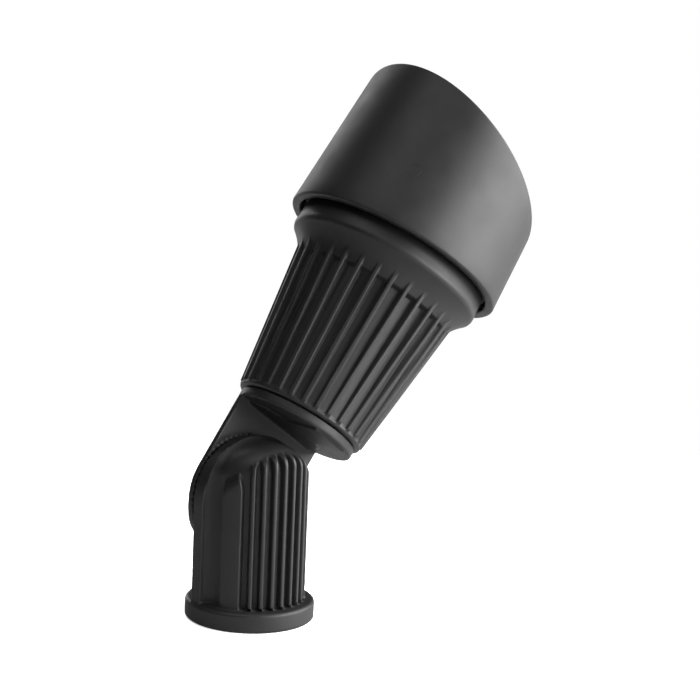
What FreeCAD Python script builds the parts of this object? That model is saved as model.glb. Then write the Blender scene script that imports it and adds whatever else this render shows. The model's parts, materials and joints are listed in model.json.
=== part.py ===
import FreeCAD, Part
import math
import os
import Sketcher
from FreeCAD import Placement, Rotation, Vector

# Adjustable garden spotlight head: a knuckle of two toothed halves, a ribbed lamp housing and a slip-on cowl.
# Millimetres, +Z up. The origin is the centre of the threaded socket's mouth, under the base flange.
# Pieces of the head are drawn upright about the hinge, with z as the distance from it, and then tilted.

doc = FreeCAD.newDocument("garden_spotlight")
sheet = doc.addObject("Spreadsheet::Sheet", "dims")

DIMENSIONS = {
    # base flange and the hinge above it
    "flange_radius": 17.5,
    "flange_height": 5.4,
    "flange_edge": 0.6,
    "pivot_height": 32.6,
    "rest_tilt": 36.45,
    # the two knuckle halves: a half-round fluted column behind a flat plate with a round end
    "column_radius": 14.8,
    "lug_radius": 16.4,
    "dome_round": 6.5,
    "crown_start": 4.5,
    "plate_front": 1.1,
    "split_plane": 5.3,
    "upper_plate_back": 7.4,
    "flute_pitch": 12.0,
    "flute_count": 8,
    "flute_mouth": 2.3,
    "flute_floor": 1.5,
    "flute_depth": 1.9,
    # radial serration that locks the tilt, slackened to run
    "tooth_count": 60,
    "tooth_height": 0.45,
    "tooth_gap": 0.12,
    "tooth_ring_inner": 11.9,
    "tooth_share": 0.94,
    # wire way and hinge bolt
    "socket_radius": 9.2,
    "socket_depth": 13.0,
    "pedestal_gap": 0.8,
    "wire_hole_radius": 3.0,
    "wire_hole_y": 1.0,
    "chamber_radius": 9.4,
    "chamber_depth": 3.0,
    "upper_chamber_depth": 2.2,
    "boss_radius": 5.4,
    "bolt_radius": 3.0,
    "bolt_length": 17.0,
    "bolt_head_radius": 5.0,
    "bolt_head_height": 2.8,
    "bolt_key": 2.0,
    "bolt_key_depth": 1.9,
    "insert_radius": 4.4,
    "insert_length": 11.0,
    "counterbore_radius": 5.6,
    "counterbore_y": 9.4,
    "flat_washer_thickness": 0.8,
    "spring_washer_thickness": 1.2,
    "washer_radius": 5.2,
    "hinge_seal_radius": 10.6,
    "hinge_seal_wire": 0.7,
    "hinge_running": 0.02,
    # disc on top of the upper half, with the hollow threaded stem
    "disc_bottom": 22.1,
    "disc_thickness": 2.7,
    "disc_radius": 17.3,
    "disc_edge": 0.4,
    "pad_thickness": 0.5,
    "pad_margin": 1.5,
    "pad_half_width": 6.3,
    "pad_flare": 13.3,
    "pad_bend": 4.3,
    "arm_wire_radius": 1.8,
    "arm_wire_y": 7.9,
    "stem_radius": 8.0,
    "stem_bore": 6.0,
    "stem_length": 9.2,
    "wire_slot_height": 1.4,
    "wire_slot_width": 3.0,
    "wire_slot_roof": 0.6,
    "stem_seal_radius": 12.6,
    "stem_seal_wire": 0.8,
    "stem_nut_radius": 10.8,
    "stem_nut_height": 3.6,
    "stem_washer_radius": 11.0,
    "stem_washer_thickness": 1.0,
    # ribbed housing, heights from the hinge along the head's axis
    "joint_gap": 0.3,
    "foot_radius": 18.5,
    "foot_chamfer": 0.5,
    "fin_start": 26.4,
    "floor_thickness": 3.2,
    "core_bottom_radius": 18.1,
    "core_top_radius": 21.3,
    "valley_end": 65.3,
    "fin_bottom_radius": 18.9,
    "fin_top_radius": 24.3,
    "fin_run_out": 69.4,
    "fin_count": 30,
    "fin_crest": 0.6,
    "fin_root": 1.7,
    "fin_phase": -2.6,
    "flare_bottom_radius": 22.9,
    "flare_top_radius": 27.4,
    "flare_top": 73.0,
    "flare_round": 21.0,
    "collar_radius": 27.85,
    "collar_land": 0.6,
    "collar_top": 74.4,
    "neck_radius": 27.4,
    "neck_top": 90.9,
    "housing_wall": 2.0,
    "neck_bore": 25.7,
    "cowl_seal_low": 80.6,
    "cowl_seal_high": 86.4,
    "cowl_seal_wire": 1.0,
    # slip-on cowl
    "cowl_bottom": 77.5,
    "cowl_radius": 31.55,
    "cowl_draft": 2.47,
    "cowl_wall": 1.7,
    "cowl_bore": 28.75,
    "cowl_edge": 0.8,
    "lead_in_radius": 30.0,
    "lead_in_height": 1.5,
    "cowl_mouth": 109.8,
    "cowl_cut": 22.3,
    "cowl_stock": 126.0,
    "cowl_lip_bottom": 95.3,
    "cowl_lip_top": 96.6,
    "cowl_lip_radius": 26.4,
    # lens pack
    "lens_radius": 28.0,
    "lens_thickness": 2.6,
    "gasket_wall": 0.6,
    "gasket_lap": 1.7,
    "ring_thickness": 1.0,
    "ring_bite": 0.5,
    "ring_inner": 27.8,
    # lamp and its holder
    "lamp_face": 89.8,
    "lamp_radius": 25.35,
    "lamp_rim": 2.4,
    "lamp_depth": 29.0,
    "lamp_neck_radius": 9.0,
    "lamp_wall": 1.3,
    "lamp_glass": 1.2,
    "lamp_base_width": 14.5,
    "lamp_base_depth": 9.0,
    "lamp_base_height": 10.0,
    "capsule_radius": 4.3,
    "capsule_length": 15.0,
    "pin_radius": 0.75,
    "pin_spacing": 5.3,
    "pin_length": 6.8,
    "holder_width": 19.0,
    "holder_depth": 11.0,
    "holder_height": 8.6,
    "contact_wall": 0.45,
    "contact_length": 4.5,
    "bracket_thickness": 1.0,
    "bracket_length": 32.4,
    "bracket_width": 8.0,
    "post_radius": 2.6,
    "post_spacing": 28.4,
    "screw_radius": 1.4,
    "screw_length": 5.0,
    "screw_head_radius": 2.5,
    "screw_head_height": 1.6,
    # running clearance of a shaft in its hole, and the seat gap between pieces that are pressed together
    "running": 0.05,
    "seat": 0.05,
}


class Size:
    """A length or angle that knows both its value and the expression it comes from."""

    def __init__(self, value, text):
        self.value = value
        self.text = text

    def __add__(self, other):
        other = size(other)
        return Size(self.value + other.value, f"({self.text} + {other.text})")

    def __sub__(self, other):
        other = size(other)
        return Size(self.value - other.value, f"({self.text} - {other.text})")

    def __mul__(self, other):
        other = size(other)
        return Size(self.value * other.value, f"({self.text} * {other.text})")

    def __truediv__(self, other):
        other = size(other)
        return Size(self.value / other.value, f"({self.text} / {other.text})")

    def __neg__(self):
        return Size(-self.value, f"(0 - {self.text})")

    def tangent(self):
        return Size(math.tan(math.radians(self.value)), f"tan({self.text})")

    def cosine(self):
        return Size(math.cos(math.radians(self.value)), f"cos({self.text})")


def size(number):
    return number if isinstance(number, Size) else Size(float(number), repr(float(number)))


for row, (alias, number) in enumerate(DIMENSIONS.items(), start=1):
    sheet.set(f"A{row}", alias)
    sheet.set(f"B{row}", str(number))
    sheet.setAlias(f"B{row}", alias)
doc.recompute()


class Dims:
    """Every cell of the sheet by its alias."""


d = Dims()
for alias, number in DIMENSIONS.items():
    setattr(d, alias, Size(float(number), f"dims.{alias}"))

ZERO = size(0)
BOWL_RINGS = 4


# ---- helpers -------------------------------------------------------------------------------------


def bind(obj, **properties):
    """Sets properties of an object from sizes and keeps them bound to the sheet."""
    for name, amount in properties.items():
        path = name.replace("__", ".")
        obj.setExpression(path, size(amount).text)
    return obj


def origin_plane(body, role):
    return next(f for f in body.Origin.OriginFeatures if f.Role == role)


def new_body(name):
    body = doc.addObject("PartDesign::Body", name)
    body.Label = name
    return body


def new_sketch(body, name, role, x=ZERO, y=ZERO, lift=ZERO, turn=None):
    """A sketch on one of the body's own planes, moved by x and y in the plane and lifted along its normal."""
    sketch = body.newObject("Sketcher::SketchObject", name)
    sketch.AttachmentSupport = (origin_plane(body, role), [""])
    sketch.MapMode = "FlatFace"
    angle = turn.value if turn else 0.0
    place = Placement(Vector(x.value, y.value, lift.value), Rotation(Vector(0, 0, 1), angle))
    sketch.AttachmentOffset = place
    bind(sketch, AttachmentOffset__Base__x=x, AttachmentOffset__Base__y=y, AttachmentOffset__Base__z=lift)
    if turn:
        bind(sketch, AttachmentOffset__Rotation__Angle=turn)
    return sketch


def place_point(sketch, geo, end, across, up):
    """Holds one end of a line or arc at its distances from the sketch's origin."""
    for kind, amount, axis in (("DistanceX", across, -2), ("DistanceY", up, -1)):
        if abs(amount.value) < 1e-9:
            sketch.addConstraint(Sketcher.Constraint("PointOnObject", geo, end, axis))
            continue
        index = sketch.addConstraint(Sketcher.Constraint(kind, -1, 1, geo, end, amount.value))
        sketch.setExpression(f"Constraints[{index}]", amount.text)


def arc_between(start, end, radius):
    """An arc from start to end. A positive radius bends it to the left of the chord, a negative one to the right."""
    chord = end - start
    half = chord.Length / 2
    reach = math.sqrt(radius * radius - half * half)
    left = Vector(-chord.y, chord.x, 0).normalize()
    side = 1 if radius > 0 else -1
    centre = (start + end) / 2 - left * (side * reach)
    middle = centre + left * (side * abs(radius))
    return Part.Arc(start, middle, end)


def outline(sketch, corners):
    """A closed outline through the corners. A corner with a third value starts an arc of that radius."""
    flat = [Vector(c[0].value, c[1].value, 0) for c in corners]
    ends = []
    for i, corner in enumerate(corners):
        start, stop = flat[i], flat[(i + 1) % len(flat)]
        bent = len(corner) > 2
        curve = arc_between(start, stop, corner[2].value) if bent else Part.LineSegment(start, stop)
        geo = sketch.addGeometry(curve, False)
        forward = (sketch.getPoint(geo, 1) - start).Length < (sketch.getPoint(geo, 2) - start).Length
        ends.append((geo, 1, 2) if forward else (geo, 2, 1))
        place_point(sketch, geo, ends[-1][1], corner[0], corner[1])
        if bent:
            amount = corner[2] if corner[2].value > 0 else -corner[2]
            index = sketch.addConstraint(Sketcher.Constraint("Radius", geo, amount.value))
            sketch.setExpression(f"Constraints[{index}]", amount.text)
    for here, after in zip(ends, ends[1:] + ends[:1]):
        sketch.addConstraint(Sketcher.Constraint("Coincident", here[0], here[2], after[0], after[1]))
    return sketch


def circle(sketch, radius, across=ZERO, up=ZERO):
    geo = sketch.addGeometry(Part.Circle(Vector(across.value, up.value, 0), Vector(0, 0, 1), radius.value), False)
    place_point(sketch, geo, 3, across, up)
    index = sketch.addConstraint(Sketcher.Constraint("Radius", geo, radius.value))
    sketch.setExpression(f"Constraints[{index}]", radius.text)
    return sketch


def rectangle(sketch, left, right, low, high):
    return outline(sketch, [(left, low), (right, low), (right, high), (left, high)])


def regular_hexagon(sketch, radius):
    """A hexagon by the radius of its corners."""
    root = size(math.sqrt(3.0) / 2)
    half = radius / 2
    corners = [(radius, ZERO), (half, radius * root), (-half, radius * root)]
    corners += [(-radius, ZERO), (-half, -(radius * root)), (half, -(radius * root))]
    return outline(sketch, corners)


def spin(body, name, corners, cut=False):
    """Turns a profile of radius and height about the body's Z axis, adding or removing material."""
    sketch = new_sketch(body, name + "_profile", "XZ_Plane")
    outline(sketch, corners)
    turned = body.newObject("PartDesign::Groove" if cut else "PartDesign::Revolution", name)
    turned.Profile = sketch
    turned.ReferenceAxis = (sketch, ["V_Axis"])
    turned.Angle = 360.0
    sketch.Visibility = False
    return turned


def pad(body, name, sketch, length, reverse=False):
    feature = body.newObject("PartDesign::Pad", name)
    feature.Profile = sketch
    feature.Reversed = reverse
    bind(feature, Length=length)
    return feature


def pocket(body, name, sketch, length, reverse=False):
    doc.recompute()
    before = body.Shape.Volume
    feature = body.newObject("PartDesign::Pocket", name)
    feature.Profile = sketch
    feature.Reversed = reverse
    bind(feature, Length=length)
    doc.recompute()
    if body.Shape.Volume >= before - 1e-6:
        raise RuntimeError(f"{name} cuts nothing")
    return feature


def around(body, name, feature, axis, count, angle):
    """Repeats a feature about an axis and makes the pattern the body's tip."""
    pattern = body.newObject("PartDesign::PolarPattern", name)
    pattern.Originals = [feature]
    pattern.Axis = axis
    bind(pattern, Angle=angle, Occurrences=count)
    body.Tip = pattern
    return pattern


def tilted(*bodies):
    """Sets pieces of the head on the hinge at the tilt they rest at."""
    for body in bodies:
        body.Placement = Placement(Vector(0, 0, d.pivot_height.value), Rotation(Vector(0, 1, 0), d.rest_tilt.value))
        bind(body, Placement__Base__z=d.pivot_height, Placement__Rotation__Angle=d.rest_tilt)


# ---- sizes that follow from the driving ones ----------------------------------------------------

half_gap = d.tooth_gap / 2
lower_face = d.split_plane - half_gap - d.tooth_height
upper_face = d.split_plane + half_gap + d.tooth_height
disc_top = d.disc_bottom + d.disc_thickness
housing_bottom = disc_top + d.joint_gap
floor_top = housing_bottom + d.floor_thickness
stem_top = disc_top + d.stem_length
lamp_back = d.lamp_face - d.lamp_depth
base_bottom = lamp_back - d.lamp_base_height
holder_top = base_bottom - d.seat
bracket_top = holder_top - d.holder_height
bracket_bottom = bracket_top - d.bracket_thickness
lens_top = d.cowl_lip_bottom - d.seat - d.gasket_wall
lens_bottom = lens_top - d.lens_thickness
gasket_bottom = lens_bottom - d.gasket_wall
ring_top = gasket_bottom - d.seat
ring_bottom = ring_top - d.ring_thickness
ring_outer = d.cowl_bore + d.ring_bite
cowl_seal_radius = d.cowl_bore - d.running - d.cowl_seal_wire
chamber_middle = (d.boss_radius + d.chamber_radius) / 2
hinge_seal_y = upper_face - d.hinge_running - d.hinge_seal_wire

# ---- shapes that several pieces share ------------------------------------------------------------


def hinge_axis(body):
    return (origin_plane(body, "Y_Axis"), [""])


def long_axis(body):
    return (origin_plane(body, "Z_Axis"), [""])


def ring_profile(inner, outer, low, high):
    return [(inner, low), (outer, low), (outer, high), (inner, high)]


def ring(name, inner, outer, low, high):
    """A flat ring or sleeve about the Z axis."""
    body = new_body(name)
    spin(body, name + "_ring", ring_profile(inner, outer, low, high))
    return body


def square_seal(name, radius, half, height):
    """A square-cut sealing ring by the middle of its section and half the section's side."""
    return ring(name, radius - half, radius + half, height - half, height + half)


def on_hinge(*bodies):
    """Lays pieces drawn upright along the hinge, their Z along the hinge's Y."""
    for body in bodies:
        body.Placement = Placement(Vector(0, 0, d.pivot_height.value), Rotation(Vector(1, 0, 0), -90))
        bind(body, Placement__Base__z=d.pivot_height)


def lug_outline(sketch, foot):
    """The plate's outline: straight sides from the foot, and a round end about the hinge."""
    side = d.lug_radius
    if foot.value < 0:
        return outline(sketch, [(-side, ZERO, side), (ZERO, side, side), (side, ZERO), (side, foot), (-side, foot)])
    return outline(sketch, [(side, ZERO, side), (ZERO, -side, side), (-side, ZERO), (-side, foot), (side, foot)])


def toothed_face(body, face, tip):
    """A ring of teeth that all point at the hinge axis, so that they mesh at any tilt."""
    half_pitch = size(math.pi) / d.tooth_count * d.tooth_share
    root = face - (tip - face)
    sections = []
    for place, radius in (("inner", d.tooth_ring_inner), ("outer", d.lug_radius)):
        sketch = new_sketch(body, "tooth_" + place, "YZ_Plane", lift=radius)
        half = radius * half_pitch
        outline(sketch, [(root, -half * size(2)), (tip, ZERO), (root, half * size(2))])
        sections.append(sketch)
    tooth = body.newObject("PartDesign::AdditiveLoft", "tooth")
    tooth.Profile = sections[0]
    tooth.Sections = [sections[1]]
    tooth.Ruled = True
    return around(body, "teeth", tooth, hinge_axis(body), d.tooth_count, size(360))


def fluted_column(body, foot):
    """Cuts the grooves down the front of the lower half's column."""
    first = d.flute_pitch * (size(1) - d.flute_count) / size(2) - size(90)
    sketch = new_sketch(body, "flute_section", "XY_Plane", lift=foot, turn=first)
    bottom = d.column_radius - d.flute_depth
    mouth = d.flute_mouth / 2
    floor = d.flute_floor / 2
    outer = d.column_radius + d.flute_depth
    wide = mouth + (mouth - floor)
    outline(sketch, [(bottom, -floor), (outer, -wide), (outer, wide), (bottom, floor)])
    flute = pocket(body, "flute", sketch, d.pivot_height * size(2), reverse=True)
    around(body, "flutes", flute, long_axis(body), d.flute_count, d.flute_pitch * (d.flute_count - size(1)))


def crown_outline(sketch, wide, start):
    """What lies beyond the round crown about the hinge, on the side of it to which start points."""
    radius = d.lug_radius
    across = Size(math.sqrt(radius.value**2 - start.value**2), f"sqrt({radius.text}^2 - ({start.text})^2)")
    if start.value < 0:
        across = -across
    outline(sketch, [(-across, start, radius), (across, start), (wide, start), (wide, wide), (-wide, wide), (-wide, start)])


# ---- lower knuckle half, with the base flange and the threaded socket ----------------------------


def make_lower_knuckle():
    body = new_body("lower_knuckle")
    foot = -d.pivot_height
    flange_top = foot + d.flange_height
    edge = d.flange_edge
    top = d.lug_radius
    spin(body, "flange_and_column", [
        (ZERO, foot),
        (d.flange_radius - edge, foot),
        (d.flange_radius, foot + edge),
        (d.flange_radius, flange_top - edge),
        (d.flange_radius - edge, flange_top),
        (d.column_radius, flange_top),
        (d.column_radius, top - d.dome_round, -d.dome_round),
        (d.column_radius - d.dome_round, top),
        (ZERO, top),
    ])
    back = new_sketch(body, "back_cut", "XY_Plane", lift=-d.lug_radius - d.pedestal_gap)
    wide = d.flange_radius * size(2)
    rectangle(back, -wide, wide, d.plate_front, wide)
    pocket(body, "column_back", back, wide * size(2), reverse=True)
    crown = new_sketch(body, "crown", "XZ_Plane", lift=wide)
    crown_outline(crown, wide, d.crown_start)
    pocket(body, "crown_cut", crown, wide * size(2))
    plate = lug_outline(new_sketch(body, "plate_outline", "XZ_Plane", lift=-d.plate_front), flange_top)
    pad(body, "plate", plate, lower_face - d.plate_front, reverse=True)
    fluted_column(body, flange_top)
    toothed_face(body, lower_face, lower_face + d.tooth_height)
    spin(body, "threaded_socket", ring_profile(ZERO, d.socket_radius, foot, foot + d.socket_depth), cut=True)
    wire = circle(new_sketch(body, "wire_hole", "XY_Plane", y=d.wire_hole_y, lift=foot), d.wire_hole_radius)
    pocket(body, "wire_way", wire, d.pivot_height - chamber_middle, reverse=True)
    chamber = circle(new_sketch(body, "chamber", "XZ_Plane", lift=-lower_face), d.chamber_radius)
    circle(chamber, d.boss_radius)
    pocket(body, "wire_chamber", chamber, d.chamber_depth, reverse=True)
    seat = circle(new_sketch(body, "insert_hole", "XZ_Plane", lift=-lower_face), d.insert_radius)
    pocket(body, "insert_seat", seat, d.insert_length, reverse=True)
    groove = circle(new_sketch(body, "seal_groove", "XZ_Plane", lift=-lower_face), d.hinge_seal_radius + d.hinge_seal_wire)
    circle(groove, d.hinge_seal_radius - d.hinge_seal_wire)
    pocket(body, "hinge_seal_groove", groove, lower_face - (hinge_seal_y - d.hinge_seal_wire), reverse=True)
    bind(body, Placement__Base__z=d.pivot_height)
    return body


# ---- pieces on the hinge --------------------------------------------------------------------------


def make_bolt_insert():
    low = lower_face - d.insert_length
    return ring("bolt_insert", d.bolt_radius + d.running, d.insert_radius, low, lower_face)


def make_hinge_bolt():
    body = new_body("hinge_bolt")
    under_head = d.counterbore_y + d.flat_washer_thickness + d.spring_washer_thickness
    head_top = under_head + d.bolt_head_height
    tip = under_head - d.bolt_length
    spin(body, "shank_and_head", [
        (ZERO, tip),
        (d.bolt_radius - d.running, tip),
        (d.bolt_radius - d.running, under_head),
        (d.bolt_head_radius, under_head),
        (d.bolt_head_radius, head_top),
        (ZERO, head_top),
    ])
    key = regular_hexagon(new_sketch(body, "key_outline", "XY_Plane", lift=head_top), d.bolt_key)
    pocket(body, "key_recess", key, d.bolt_key_depth)
    return body


def make_hinge_pieces():
    seat = d.counterbore_y
    flat_top = seat + d.flat_washer_thickness
    hole = d.bolt_radius + d.running
    seal = square_seal("hinge_seal", d.hinge_seal_radius, d.hinge_seal_wire, hinge_seal_y)
    flat = ring("flat_washer", hole, d.washer_radius, seat, flat_top)
    spring = ring("spring_washer", hole, d.bolt_head_radius, flat_top, flat_top + d.spring_washer_thickness)
    pieces = [make_bolt_insert(), make_hinge_bolt(), seal, flat, spring]
    on_hinge(*pieces)
    return pieces


# ---- upper knuckle half, with its disc and hollow stem --------------------------------------------


def make_upper_knuckle():
    body = new_body("upper_knuckle")
    edge = d.disc_edge
    spin(body, "disc_and_stem", [
        (ZERO, d.disc_bottom),
        (d.disc_radius - edge, d.disc_bottom),
        (d.disc_radius, d.disc_bottom + edge),
        (d.disc_radius, disc_top),
        (d.stem_radius, disc_top),
        (d.stem_radius, stem_top),
        (ZERO, stem_top),
    ])
    chord = new_sketch(body, "column_section", "XY_Plane", lift=-d.lug_radius)
    inner = d.column_radius - d.upper_plate_back
    half = Size(
        math.sqrt(d.column_radius.value**2 - d.upper_plate_back.value**2),
        f"sqrt({d.column_radius.text}^2 - {d.upper_plate_back.text}^2)",
    )
    outline(chord, [(half, d.upper_plate_back, -d.column_radius), (-half, d.upper_plate_back)])
    pad(body, "column", chord, d.lug_radius + d.disc_bottom)
    heel = new_sketch(body, "heel", "XZ_Plane", lift=-d.upper_plate_back)
    wide = d.lug_radius * size(2)
    crown_outline(heel, -wide, -d.crown_start)
    pocket(body, "heel_cut", heel, inner * size(2))
    plate = lug_outline(new_sketch(body, "plate_outline", "XZ_Plane", lift=-upper_face), d.disc_bottom)
    pad(body, "plate", plate, d.upper_plate_back - upper_face, reverse=True)
    lip = new_sketch(body, "pad_outline", "XY_Plane", lift=d.disc_bottom)
    near = d.disc_radius - d.pad_margin
    bend = -d.pad_bend
    flare = d.pad_flare
    narrow = d.pad_half_width
    outline(lip, [(-flare, upper_face, -flare), (-narrow, bend), (-narrow, -near), (narrow, -near),
                  (narrow, bend, -flare), (flare, upper_face)])
    pad(body, "disc_pad", lip, d.pad_thickness, reverse=True)
    toothed_face(body, upper_face, upper_face - d.tooth_height)
    chamber = circle(new_sketch(body, "chamber", "XZ_Plane", lift=-upper_face), d.chamber_radius)
    circle(chamber, d.boss_radius)
    pocket(body, "wire_chamber", chamber, d.upper_chamber_depth)
    hole = circle(new_sketch(body, "bolt_hole", "XZ_Plane", lift=-upper_face), d.bolt_radius + d.running)
    pocket(body, "bolt_way", hole, d.column_radius)
    counter = circle(new_sketch(body, "counterbore", "XZ_Plane", lift=-d.counterbore_y), d.counterbore_radius)
    pocket(body, "head_seat", counter, d.column_radius)
    slot_floor = disc_top - d.wire_slot_roof - d.wire_slot_height
    wire = circle(new_sketch(body, "wire_hole", "XY_Plane", y=d.arm_wire_y, lift=chamber_middle), d.arm_wire_radius)
    pocket(body, "wire_way", wire, slot_floor + d.wire_slot_height - chamber_middle, reverse=True)
    slot = new_sketch(body, "wire_slot", "XY_Plane", lift=slot_floor)
    half_slot = d.wire_slot_width / 2
    rectangle(slot, -half_slot, half_slot, ZERO, d.arm_wire_y)
    pocket(body, "wire_turn", slot, d.wire_slot_height, reverse=True)
    bore = circle(new_sketch(body, "stem_hole", "XY_Plane", lift=slot_floor), d.stem_bore)
    pocket(body, "stem_way", bore, stem_top - slot_floor, reverse=True)
    return body


def make_stem_pieces():
    washer_low = floor_top + d.running
    nut_low = washer_low + d.stem_washer_thickness
    seal = square_seal("stem_seal", d.stem_seal_radius, d.stem_seal_wire, disc_top + d.stem_seal_wire)
    washer = ring("stem_washer", d.stem_radius + d.running, d.stem_washer_radius, washer_low, nut_low)
    nut = new_body("stem_nut")
    section = regular_hexagon(new_sketch(nut, "nut_outline", "XY_Plane", lift=nut_low), d.stem_nut_radius)
    circle(section, d.stem_radius + d.running)
    pad(nut, "nut", section, d.stem_nut_height)
    return [seal, washer, nut]


# ---- ribbed lamp housing ---------------------------------------------------------------------------


def fin_section(body, name, height):
    """One fin cut across at a height: wide at the root and narrow at the crest, on the housing's taper."""
    share = (height - d.fin_start) / (d.fin_run_out - d.fin_start)
    crest = d.fin_bottom_radius + (d.fin_top_radius - d.fin_bottom_radius) * share
    core = d.core_bottom_radius + (d.core_top_radius - d.core_bottom_radius) * share
    root = core - d.housing_wall / 4
    sketch = new_sketch(body, name, "XY_Plane", lift=height, turn=d.fin_phase)
    half_root = d.fin_root / 2
    half_crest = d.fin_crest / 2
    return outline(sketch, [(root, -half_root), (crest, -half_crest), (crest, half_crest), (root, half_root)])


def make_lamp_housing():
    body = new_body("lamp_housing")
    chamfer = d.foot_chamfer
    hole = d.stem_radius + d.running
    wall = d.housing_wall
    spin(body, "shell", [
        (hole, housing_bottom),
        (d.foot_radius - chamfer, housing_bottom),
        (d.foot_radius, housing_bottom + chamfer),
        (d.foot_radius, d.fin_start),
        (d.core_bottom_radius, d.fin_start),
        (d.core_top_radius, d.valley_end),
        (d.flare_bottom_radius, d.valley_end, d.flare_round),
        (d.flare_top_radius, d.flare_top),
        (d.collar_radius, d.flare_top),
        (d.collar_radius, d.flare_top + d.collar_land),
        (d.neck_radius, d.collar_top),
        (d.neck_radius, d.neck_top),
        (d.neck_bore, d.neck_top),
        (d.neck_bore, d.collar_top + d.running),
        (d.core_top_radius - wall, d.valley_end),
        (d.core_bottom_radius - wall, floor_top),
        (hole, floor_top),
    ])
    fin = body.newObject("PartDesign::AdditiveLoft", "fin")
    fin.Profile = fin_section(body, "fin_foot", d.fin_start)
    fin.Sections = [fin_section(body, "fin_head", d.fin_run_out)]
    fin.Ruled = True
    around(body, "fins", fin, long_axis(body), d.fin_count, size(360))
    for place, height in (("rear", d.cowl_seal_low), ("front", d.cowl_seal_high)):
        reach = d.cowl_seal_wire + d.running
        floor = cowl_seal_radius - d.cowl_seal_wire
        groove = ring_profile(floor, d.collar_radius, height - reach, height + reach)
        spin(body, place + "_seal_groove", groove, cut=True)
    inner = d.stem_seal_radius - d.stem_seal_wire - d.running
    outer = d.stem_seal_radius + d.stem_seal_wire + d.running
    low = disc_top
    high = disc_top + d.stem_seal_wire * size(2) + d.running
    spin(body, "stem_seal_groove", ring_profile(inner, outer, low, high), cut=True)
    posts = new_sketch(body, "post_sections", "XY_Plane", lift=floor_top)
    half = d.post_spacing / 2
    circle(posts, d.post_radius, half)
    circle(posts, d.post_radius, -half)
    pad(body, "posts", posts, bracket_bottom - floor_top)
    holes = new_sketch(body, "screw_holes", "XY_Plane", lift=bracket_bottom)
    circle(holes, d.screw_radius, half)
    circle(holes, d.screw_radius, -half)
    pocket(body, "screw_ways", holes, d.screw_length)
    return body


def make_cowl_seals():
    heights = (("cowl_seal_rear", d.cowl_seal_low), ("cowl_seal_front", d.cowl_seal_high))
    return [square_seal(name, cowl_seal_radius, d.cowl_seal_wire, height) for name, height in heights]


# ---- slip-on cowl with its slanted mouth, and the lens behind it -----------------------------------


def make_cowl():
    body = new_body("cowl")
    slope = d.cowl_draft.tangent()
    wall = d.cowl_wall
    edge = d.cowl_edge
    low = d.cowl_bottom
    lip = d.cowl_lip_radius

    def outer(height):
        return d.cowl_radius - (height - d.cowl_bottom) * slope

    spin(body, "shell", [
        (d.cowl_bore, low + d.lead_in_height),
        (d.lead_in_radius, low),
        (d.cowl_radius - edge, low),
        (outer(low + edge), low + edge),
        (outer(d.cowl_stock), d.cowl_stock),
        (outer(d.cowl_stock) - wall, d.cowl_stock),
        (outer(d.cowl_lip_top) - wall, d.cowl_lip_top),
        (lip, d.cowl_lip_top),
        (lip, d.cowl_lip_bottom),
        (d.cowl_bore, d.cowl_lip_bottom),
    ])
    groove = ring_profile(d.cowl_bore - d.ring_bite, ring_outer + d.seat, ring_bottom - d.seat, ring_top + d.seat / 2)
    spin(body, "ring_groove", groove, cut=True)
    wide = d.cowl_radius * size(2)
    slant = wide * d.cowl_cut.tangent()
    mouth = new_sketch(body, "mouth_cut", "XZ_Plane", lift=wide)
    far = d.cowl_stock * size(2)
    outline(mouth, [(-wide, d.cowl_mouth + slant), (wide, d.cowl_mouth - slant), (wide, far), (-wide, far)])
    pocket(body, "mouth", mouth, wide * size(2))
    return body


def make_lens_pieces():
    lens = ring("front_lens", ZERO, d.lens_radius, lens_bottom, lens_top)
    gasket = new_body("lens_gasket")
    outer = d.lens_radius + d.gasket_wall
    inner = d.lens_radius - d.gasket_lap
    top = lens_top + d.gasket_wall
    spin(gasket, "channel", [
        (inner, gasket_bottom),
        (outer, gasket_bottom),
        (outer, top),
        (inner, top),
        (inner, lens_top),
        (d.lens_radius, lens_top),
        (d.lens_radius, lens_bottom),
        (inner, lens_bottom),
    ])
    snap = ring("lens_ring", d.ring_inner, ring_outer, ring_bottom, ring_top)
    return [lens, gasket, snap]


# ---- lamp, lamp holder and its bracket ---------------------------------------------------------------


def bowl_curve(low_radius, low, high_radius, high):
    """Rings of a bowl that opens from a low ring to a high one like a parabola."""
    count = BOWL_RINGS
    shares = [i / count for i in range(count + 1)]
    return [(low_radius + (high_radius - low_radius) * math.sqrt(t), low + (high - low) * t) for t in shares]


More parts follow.
